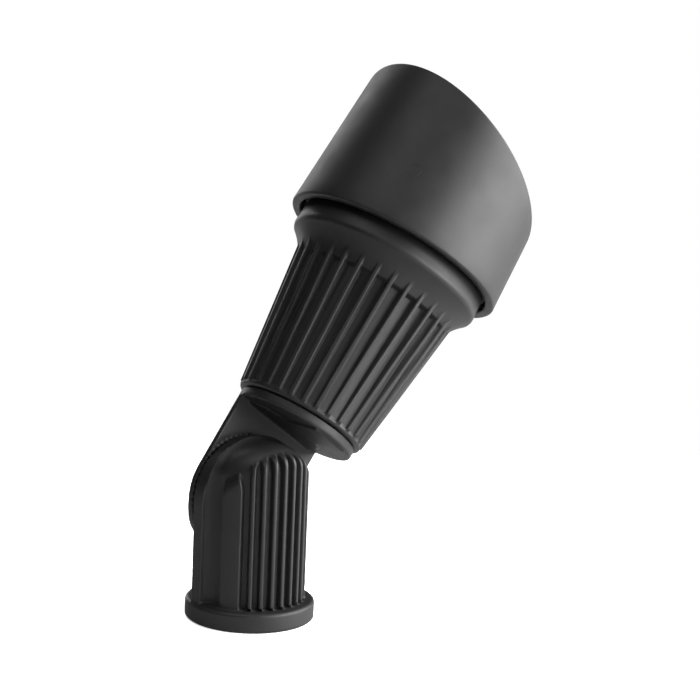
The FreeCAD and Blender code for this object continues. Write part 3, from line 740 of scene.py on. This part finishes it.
# how far points lie outside a knuckle half's column, and how much of the way there they are moved
def columnSkin(k):
    def skin(p):
        x, y, z = p[:, 0], p[:, 1], p[:, 2]
        fromAxis = np.hypot(x, y)
        fromHinge = np.where(z * k["way"] > 0.0, np.hypot(x, z), np.abs(x))
        # the rounding between wall and crown fades where the two run in line
        bend = 1.0 - x * x / np.maximum(fromAxis * fromHinge, leastWidth)
        depth = roundMax(fromAxis - k["core"], fromHinge - k["crown"], k["dome"] * bend + leastRound)
        if k["ribs"]:
            plate = np.maximum(k["face"] - y, fromHinge - k["crown"])
            depth = -roundMax(-depth, -plate, k["cove"])
            rib = ribSkin(k, x, y, z, fromAxis, fromHinge, bend)
            depth = -roundMax(-depth, -rib, k["soft"])
        share = np.clip((z - k["from"]) / k["fade"], 0.0, 1.0) * np.clip((k["to"] - z) / k["fade"], 0.0, 1.0)
        front = np.clip((k["face"] + k["front"] * y) / k["fade"], 0.0, 1.0)
        return depth, share * front * (np.hypot(x, z) > k["bore"])

    return skin


def makeKnuckleHalf(node, name, body, place, k):
    skin = columnSkin(k)
    mesh = softened(castingCopy(node, name), k["voxels"][0], k["rounds"][0])
    putPoints(mesh, place, drawnOn(pointsOf(mesh, place), skin, k["deepest"], k["level"]))
    mesh = softened(mesh, k["voxels"][1], k["rounds"][1])
    putPoints(mesh, place, pressedOn(pointsOf(mesh, place), skin, k["deepest"] / 2))
    newPiece(name, thinned(mesh, k["keep"]), body, "black_coat", (node,))


makeKnuckleHalf("lower_knuckle", "lowerKnuckleSkin", "base", Matrix.Translation(pivot), lowerKnuckle)
makeKnuckleHalf("upper_knuckle", "upperKnuckleSkin", "arm", headPlace, upperKnuckle)
print("knuckle halves formed")


cowl = {
    "bottom": 77.5,
    "radius": 31.55,  # outside, at the bottom
    "draft": 2.47,  # degrees by which the outside draws in toward the mouth
    "wall": 1.7,
    "bore": 28.75,
    "mouth": 109.8,  # height of the slanted mouth's middle
    "cut": 22.3,  # degrees the mouth slants
    "lipBottom": 95.3,  # the lip stands in front of the lens
    "lipTop": 96.6,
    "lipRadius": 26.4,
    "rearRound": 0.75,
    "leadIn": 29.2,
    "leadInHeight": 0.9,
    "rimRound": 0.7,
    "edge": 0.2,  # small bevels about the lip and the lead-in
    "boreMiddle": 88.0,  # height of an extra ring in the bore
    "around": 288,
    "steps": 6,
    "outerRows": 10,
    "innerRows": 8,
}


# the cowl's outer radius, which shrinks toward the mouth
def cowlRadius(height):
    return cowl["radius"] - (height - cowl["bottom"]) * math.tan(math.radians(cowl["draft"]))


# evenly spaced heights, without the two ends
def heightsBetween(low, high, rows):
    return [low + (high - low) * k / rows for k in range(1, rows)]


# the lip in front of the lens and the bore behind it, as radius and height
def cowlBore(c, wall):
    e = c["edge"]
    lead = c["bottom"] + c["leadInHeight"]
    return [
        (wall - 1.25 * e, c["lipTop"]),
        (c["lipRadius"] + e, c["lipTop"]),
        (c["lipRadius"], c["lipTop"] - e),
        (c["lipRadius"], c["lipBottom"] + e),
        (c["lipRadius"] + e, c["lipBottom"]),
        (c["bore"] - e / 2, c["lipBottom"]),
        (c["bore"], c["lipBottom"] - e / 2),
        (c["bore"], c["boreMiddle"]),
        (c["bore"], lead + e),
        (c["bore"] + 0.6 * e, lead - e / 2),
        (c["leadIn"] - e, c["bottom"] + 1.5 * e),
        (c["leadIn"] - e / 4, c["bottom"] + 0.4 * e),
        (c["leadIn"] + 0.6 * e, c["bottom"]),
    ]


# one section of the cowl, whose slanted mouth stands higher on the side that shades the lens
def cowlSection(c, angle):
    lean = math.tan(math.radians(c["cut"])) * math.cos(angle)
    top = c["mouth"] - lean * cowlRadius(c["mouth"])
    top = c["mouth"] - lean * cowlRadius(top)
    innerTop = c["mouth"] - lean * (cowlRadius(top) - c["wall"])
    rear, rim, steps = c["rearRound"], c["rimRound"], c["steps"]
    low = c["lipTop"] + 1.5 * c["edge"]
    outer = heightsBetween(c["bottom"] + rear, top - rim, c["outerRows"])
    inner = heightsBetween(innerTop - rim, low, c["innerRows"]) + [low]
    section = arcPoints((cowlRadius(c["bottom"]) - rear, c["bottom"] + rear), rear, -90, 0, steps)
    section += [(cowlRadius(z), z) for z in outer]
    section += arcPoints((cowlRadius(top) - rim, top - rim), rim, 0, 90, steps)
    section += arcPoints((cowlRadius(innerTop) - c["wall"] + rim, innerTop - rim), rim, 90, 180, steps)
    section += [(cowlRadius(z) - c["wall"], z) for z in inner]
    return section + cowlBore(c, cowlRadius(low) - c["wall"])


def makeCowl():
    sections = []
    for i in range(cowl["around"]):
        angle = 2 * math.pi * i / cowl["around"]
        sections.append([turnedPoint(r, angle, z) for r, z in cowlSection(cowl, angle)])
    rings = list(zip(*sections))
    rings.append(rings[0])
    newPiece("cowlShell", latheMesh("cowlShell", rings, headPlace), "cowl", "black_coat", ("cowl",))


makeCowl()
print("cowl made")


housing = {
    "bottom": 25.1,
    "foot": 18.5,  # radius of the plain band below the fins
    "footChamfer": 0.5,
    "finStart": 26.4,
    "coreLow": 18.1,  # radius of the valleys between the fins, from their start
    "coreHigh": 21.3,  # to their end
    "valleyEnd": 65.3,
    "finLow": 18.9,  # radius of the fins, from their start
    "finHigh": 24.3,  # to their end
    "finEnd": 69.4,
    "fins": 30,
    "crest": 1.15,  # width of a fin's top
    "root": 1.65,  # and of its foot
    "phase": -2.6,  # degrees to the first fin
    "flareLow": 22.9,  # radii between which the flare rises to the collar
    "flareHigh": 27.65,
    "flareTop": 71.9,
    "flareRound": 19.0,  # radius of its hollow arc
    "collar": 28.0,
    "collarLow": 72.8,
    "collarLand": 0.7,
    "collarTop": 74.5,
    "skirt": 27.75,  # the neck's radius where it shows under the cowl
    "skirtTop": 79.0,
    "neck": 27.4,
    "neckTop": 90.9,
    "neckBore": 25.7,
    "wallHigh": 19.3,  # inside radius behind the valleys' end
    "wallLow": 16.1,
    "floorTop": 28.3,
    "stemHole": 8.05,
    "seals": (80.6, 86.4),  # heights of the two cowl seals
    "grooveHalf": 1.02,
    "grooveFloor": 26.75,
    "edge": 0.1,  # small bevels
    "eases": (0.14, 0.03, 0.04, 0.03),  # how far rings about the collar stand off its radius and the skirt's
    "soft": 0.16,
    "climb": 0.8,  # height over which a valley's floor climbs to the flare
    "acrossFin": 22,
    "rows": 64,
    "fineBelow": 1.0,  # how far below the valleys' end the close rows start
    "fineStep": 0.16,
    "fineRows": 32,
    "flareRows": 12,
}


# the larger of two radii, with a small fillet where they meet
def softMax(a, b, width):
    gap = max(width - abs(a - b), 0.0) / width
    return max(a, b) + gap * gap * width * 0.25


def softMin(a, b, width):
    return -softMax(-a, -b, width)


# the concave flare above the fins, an arc between the valleys' end and the collar
def flareRadius(height):
    h = housing
    low = Vector((h["flareLow"], h["valleyEnd"]))
    high = Vector((h["flareHigh"], h["flareTop"]))
    chord = high - low
    side = Vector((chord.y, -chord.x)).normalized()
    reach = math.sqrt(h["flareRound"] ** 2 - (chord.length / 2) ** 2)
    centre = (low + high) / 2 + side * reach
    rise = max(min(height, h["flareTop"]), h["valleyEnd"]) - centre.y
    return centre.x - math.sqrt(h["flareRound"] ** 2 - rise**2)


# radius of the ribbed wall: a cone with trapezoid fins that run out in the flare
def ribbedRadius(angle, height):
    h = housing
    low, end = h["finStart"], h["valleyEnd"]
    crest = h["finLow"] + (h["finHigh"] - h["finLow"]) * (height - low) / (h["finEnd"] - low)
    core = h["coreLow"] + (h["coreHigh"] - h["coreLow"]) * (height - low) / (end - low)
    pitch = 2 * math.pi / h["fins"]
    off = abs((angle + pitch / 2) % pitch - pitch / 2)
    across = off * (core + crest) / 2
    flankShare = (across - h["crest"] / 2) / (h["root"] / 2 - h["crest"] / 2)
    flank = crest - (crest - core) * flankShare
    radius = softMax(softMin(crest, flank, h["soft"]), core, h["soft"])
    if height > end - h["climb"]:
        ramp = min((height - end + h["climb"]) / h["climb"], 1.0)
        radius = softMax(radius, core + (flareRadius(height) - core) * ramp, h["soft"] * 3)
    return radius


# heights of the ribbed wall's rows, which lie close together where the fins run out
def finHeights():
    h = housing
    low, fine = h["finStart"], h["valleyEnd"] - h["fineBelow"]
    heights = [low + (fine - low) * (k / h["rows"]) for k in range(h["rows"])]
    heights += [fine + k * h["fineStep"] for k in range(h["fineRows"])]
    top = heights[-1]
    return heights + [top + (h["flareTop"] - top) * k / h["flareRows"] for k in range(1, h["flareRows"] + 1)]


# from the stem's hole to the foot of the fins, as radius and height
def footSection():
    h = housing
    e = h["edge"]
    return [
        (h["stemHole"], h["bottom"]),
        (h["foot"] - h["footChamfer"], h["bottom"]),
        (h["foot"] - e, h["bottom"] + h["footChamfer"] - e),
        (h["foot"], h["bottom"] + h["footChamfer"] + e),
        (h["foot"], h["finStart"] - 1.5 * e),
    ]


# from the collar over the neck and its seal grooves, and down the inside to the stem's hole
def neckSection():
    h = housing
    e = h["edge"]
    swell, below, above, shoulder = h["eases"]
    low, land = h["collarLow"], h["collarLow"] + h["collarLand"]
    section = [
        (h["collar"] - swell, (h["flareTop"] + low) / 2),
        (h["collar"] - below, low - e),
        (h["collar"], low + e),
        (h["collar"], land - e),
        (h["collar"] - above, land + e),
        (h["skirt"] + shoulder, h["collarTop"] - e),
        (h["skirt"], h["collarTop"] + e),
        (h["skirt"], h["skirtTop"] - 3 * e),
        (h["neck"], h["skirtTop"]),
    ]
    for middle in h["seals"]:
        low, high = middle - h["grooveHalf"], middle + h["grooveHalf"]
        section += [(h["neck"], low), (h["grooveFloor"], low), (h["grooveFloor"], high), (h["neck"], high)]
    return section + [
        (h["neck"], h["neckTop"] - 3 * e),
        (h["neck"] - 3 * e, h["neckTop"]),
        (h["neckBore"] + 2 * e, h["neckTop"]),
        (h["neckBore"], h["neckTop"] - 2 * e),
        (h["neckBore"], h["collarTop"]),
        (h["wallHigh"], h["valleyEnd"]),
        (h["wallLow"], h["floorTop"]),
        (h["stemHole"], h["floorTop"]),
    ]


# one rib's share of the housing, open at its two sides, repeated all round
def makeHousing():
    h = housing
    step = 2 * math.pi / h["fins"]
    turns = [step * (i / h["acrossFin"] - 0.5) for i in range(h["acrossFin"] + 1)]
    rows = [[(r, t, z) for t in turns] for r, z in footSection()]
    rows += [[(ribbedRadius(t, z), t, z) for t in turns] for z in finHeights()]
    rows += [[(r, t, z) for t in turns] for r, z in neckSection()]
    rows.append(rows[0])
    firstTurn = math.radians(h["phase"])
    repeatedSector("housingShell", rows, h["fins"], firstTurn, "black_coat", "lamp_housing")


makeHousing()
print("ribbed housing made")


seals = {
    # node: (piece, body, radius, wire, middle height, place)
    "hinge_seal": ("hingeSealRing", "base", 10.6, 0.68, 5.09, hingePlace),
    "stem_seal": ("stemSealRing", "arm", 12.6, 0.78, 25.6, headPlace),
    "cowl_seal_rear": ("rearSealRing", "head", 27.7, 0.98, housing["seals"][0], headPlace),
    "cowl_seal_front": ("frontSealRing", "head", 27.7, 0.98, housing["seals"][1], headPlace),
}
sealSteps = {"around": 144, "section": 16}


def roundRing(name, radius, wire, height, place):
    around, section = sealSteps["around"], sealSteps["section"]
    rings = []
    for j in range(section):
        turn = 2 * math.pi * j / section
        r, z = radius + wire * math.cos(turn), height + wire * math.sin(turn)
        rings.append([turnedPoint(r, 2 * math.pi * i / around, z) for i in range(around)])
    rings.append(rings[0])
    return latheMesh(name, rings, place)


for node, (name, body, radius, wire, height, place) in seals.items():
    newPiece(name, roundRing(name, radius, wire, height, place), body, "seal", (node,))
print("seals made")


reflector = {
    "low": 60.8,
    "neck": 5.6,  # radius round the capsule
    "wall": 1.3,
    "outerNeck": 9.0,
    "innerMouth": 22.75,
    "outerMouth": 24.05,
    "rim": 25.35,
    "rimLow": 87.4,
    "glassLow": 88.6,
    "facetRows": 9,
    "facetsRound": 24,
    "fine": 4,  # faces across a facet
    "pillow": 0.16,  # how far a facet swells
    "backRows": 24,
}


# one column of pillow facets with its share of the smooth back and rim
def makeReflector():
    b = reflector
    fine, count = b["fine"], b["facetRows"] * b["fine"]
    step = 2 * math.pi / b["facetsRound"]
    turns = [step * (i / fine - 0.5) for i in range(fine + 1)]
    swells = [math.sin(math.pi * i / fine) for i in range(fine + 1)]
    floor = b["low"] + b["wall"]
    rows = []
    for j in range(count + 1):
        share = j / count
        r = b["neck"] + (b["innerMouth"] - b["neck"]) * share
        z = floor + (b["glassLow"] - floor) * share**2
        pillow = abs(math.sin(math.pi * j / fine)) * b["pillow"]
        rows.append([(r - swell * pillow, t, z) for swell, t in zip(swells, turns)])
    back = [(b["rim"], b["glassLow"]), (b["rim"], b["rimLow"]), (b["outerMouth"], b["rimLow"])]
    for j in reversed(range(b["backRows"])):
        share = j / b["backRows"]
        r = b["outerNeck"] + (b["outerMouth"] - b["outerNeck"]) * share
        back.append((r, b["low"] + (b["rimLow"] - b["low"]) * share**2))
    back.append((b["neck"], b["low"]))
    rows += [[(r, t, z) for t in turns] for r, z in back]
    rows.append(rows[0])
    repeatedSector("reflectorBowl", rows, b["facetsRound"], 0.0, "lamp_mirror", "lamp_reflector")


makeReflector()
print("reflector made")


filament = {
    "low": 66.5,
    "radius": 0.6,
    "height": 4.6,
    "turns": 15.0,
    "wire": 0.09,
    "corners": 8,
    "leg": 0.14,
    "legCorners": 12,
    "legFoot": 60.9,
    "legPast": 0.1,  # how far a leg reaches past its end of the coil
}
socketThread = {
    "low": 0.8,
    "radius": 9.3,
    "height": 11.4,
    "turns": 6.4,
    "wire": 0.62,
    "corners": 4,
}
knurl = {
    "ridges": 42,
    "root": 4.95,
    "crest": 5.14,
    "half": 0.2,  # of a ridge's width
    "low": 11.55,
    "high": 14.05,
}


def woundMesh(name, w, slot, place):
    settings = {
        "Turns": w["turns"],
        "Radius": w["radius"] * mm,
        "Height": w["height"] * mm,
        "Section": w["wire"] * mm,
        "Section Corners": w["corners"],
        "Finish": finishes[slot],
    }
    mesh = evaluatedMesh(name, bpy.data.meshes.new(name + "Start"), spiralTree, settings)
    mesh.transform(place @ Matrix.Translation((0, 0, w["low"] * mm)))
    return mesh


# an upright round wire beside the lamp's axis
def uprightWire(name, x, radius, low, high, corners):
    turns = [2 * math.pi * i / corners for i in range(corners)]

    def ring(r, z):
        return [((x + r * math.cos(t)) * mm, r * math.sin(t) * mm, z * mm) for t in turns]

    rings = [ring(0.0, low), ring(radius, low), ring(radius, high), ring(0.0, high)]
    return latheMesh(name, rings, headPlace)


def makeFilament():
    f = filament
    newPiece("filamentCoil", woundMesh("filamentCoil", f, "steel", headPlace), "head", "steel")
    low = f["low"] + f["legPast"]
    for name, x, top in (("legLeft", f["radius"], low), ("legRight", -f["radius"], low + f["height"])):
        wire = uprightWire(name, x, f["leg"], f["legFoot"], top, f["legCorners"])
        newPiece(name, wire, "head", "steel")


def makeSocketThread():
    thread = woundMesh("socketThread", socketThread, "black_coat", Matrix())
    newPiece("socketThread", thread, "base", "black_coat")


makeFilament()
makeSocketThread()
print("thread and filament wound")


# grip ridges round the bolt's head
def makeKnurl():
    k = knurl
    outline = [(k["root"], -k["half"]), (k["crest"], 0.0), (k["root"], k["half"])]
    points = [(x * mm, y * mm, z * mm) for z in (k["low"], k["high"]) for x, y in outline]
    ridge = bpy.data.meshes.new("gripRidge")
    ridge.from_pydata(points, [], [(2, 1, 0), (3, 4, 5), (0, 1, 4, 3), (1, 2, 5, 4), (2, 0, 3, 5)])
    settings = {
        "Count": k["ridges"],
        "First Turn": 0.0,
        "Step Turn": 2 * math.pi / k["ridges"],
        "Weld": welds["skin"],
        "Finish": finishes["steel"],
    }
    mesh = evaluatedMesh("boltGrip", ridge, repeatTree, settings)
    mesh.transform(hingePlace)
    newPiece("boltGrip", mesh, "bolt", "steel")


makeKnurl()
print("bolt grip made")


witness = {
    "turn": -142.0,  # degrees round the cowl
    "height": 93.0,
    "plate": (-11.3, 5.81, 16.4),  # middle of the ring on the upper half's plate
    "radius": 1.8,
    "wire": 0.07,
    "flatness": 0.6,
    "around": 64,
    "section": 8,
}


def onCowl(across, along, out):
    height = witness["height"] + along
    wall = cowlRadius(height)
    return turnedPoint(wall + out, math.radians(witness["turn"]) + across / wall, height)


def onPlate(across, along, out):
    x, y, z = witness["plate"]
    return (x + across) * mm, (y + out) * mm, (z + along) * mm


# a faint ring as ejector pins leave on a casting; spot gives the surface's point across, along and out
def makeWitnessMark(name, body, spot):
    w = witness
    turns = [2 * math.pi * i / w["around"] for i in range(w["around"])]
    rings = []
    for j in range(w["section"]):
        lift = 2 * math.pi * j / w["section"]
        r, out = w["radius"] + w["wire"] * math.cos(lift), w["wire"] * math.sin(lift) * w["flatness"]
        rings.append([spot(r * math.cos(t), r * math.sin(t), out) for t in turns])
    rings.append(rings[0])
    newPiece(name, latheMesh(name, rings, headPlace), body, "black_coat")


makeWitnessMark("cowlMark", "cowl", onCowl)
makeWitnessMark("plateMark", "arm", onPlate)
print("casting marks made")
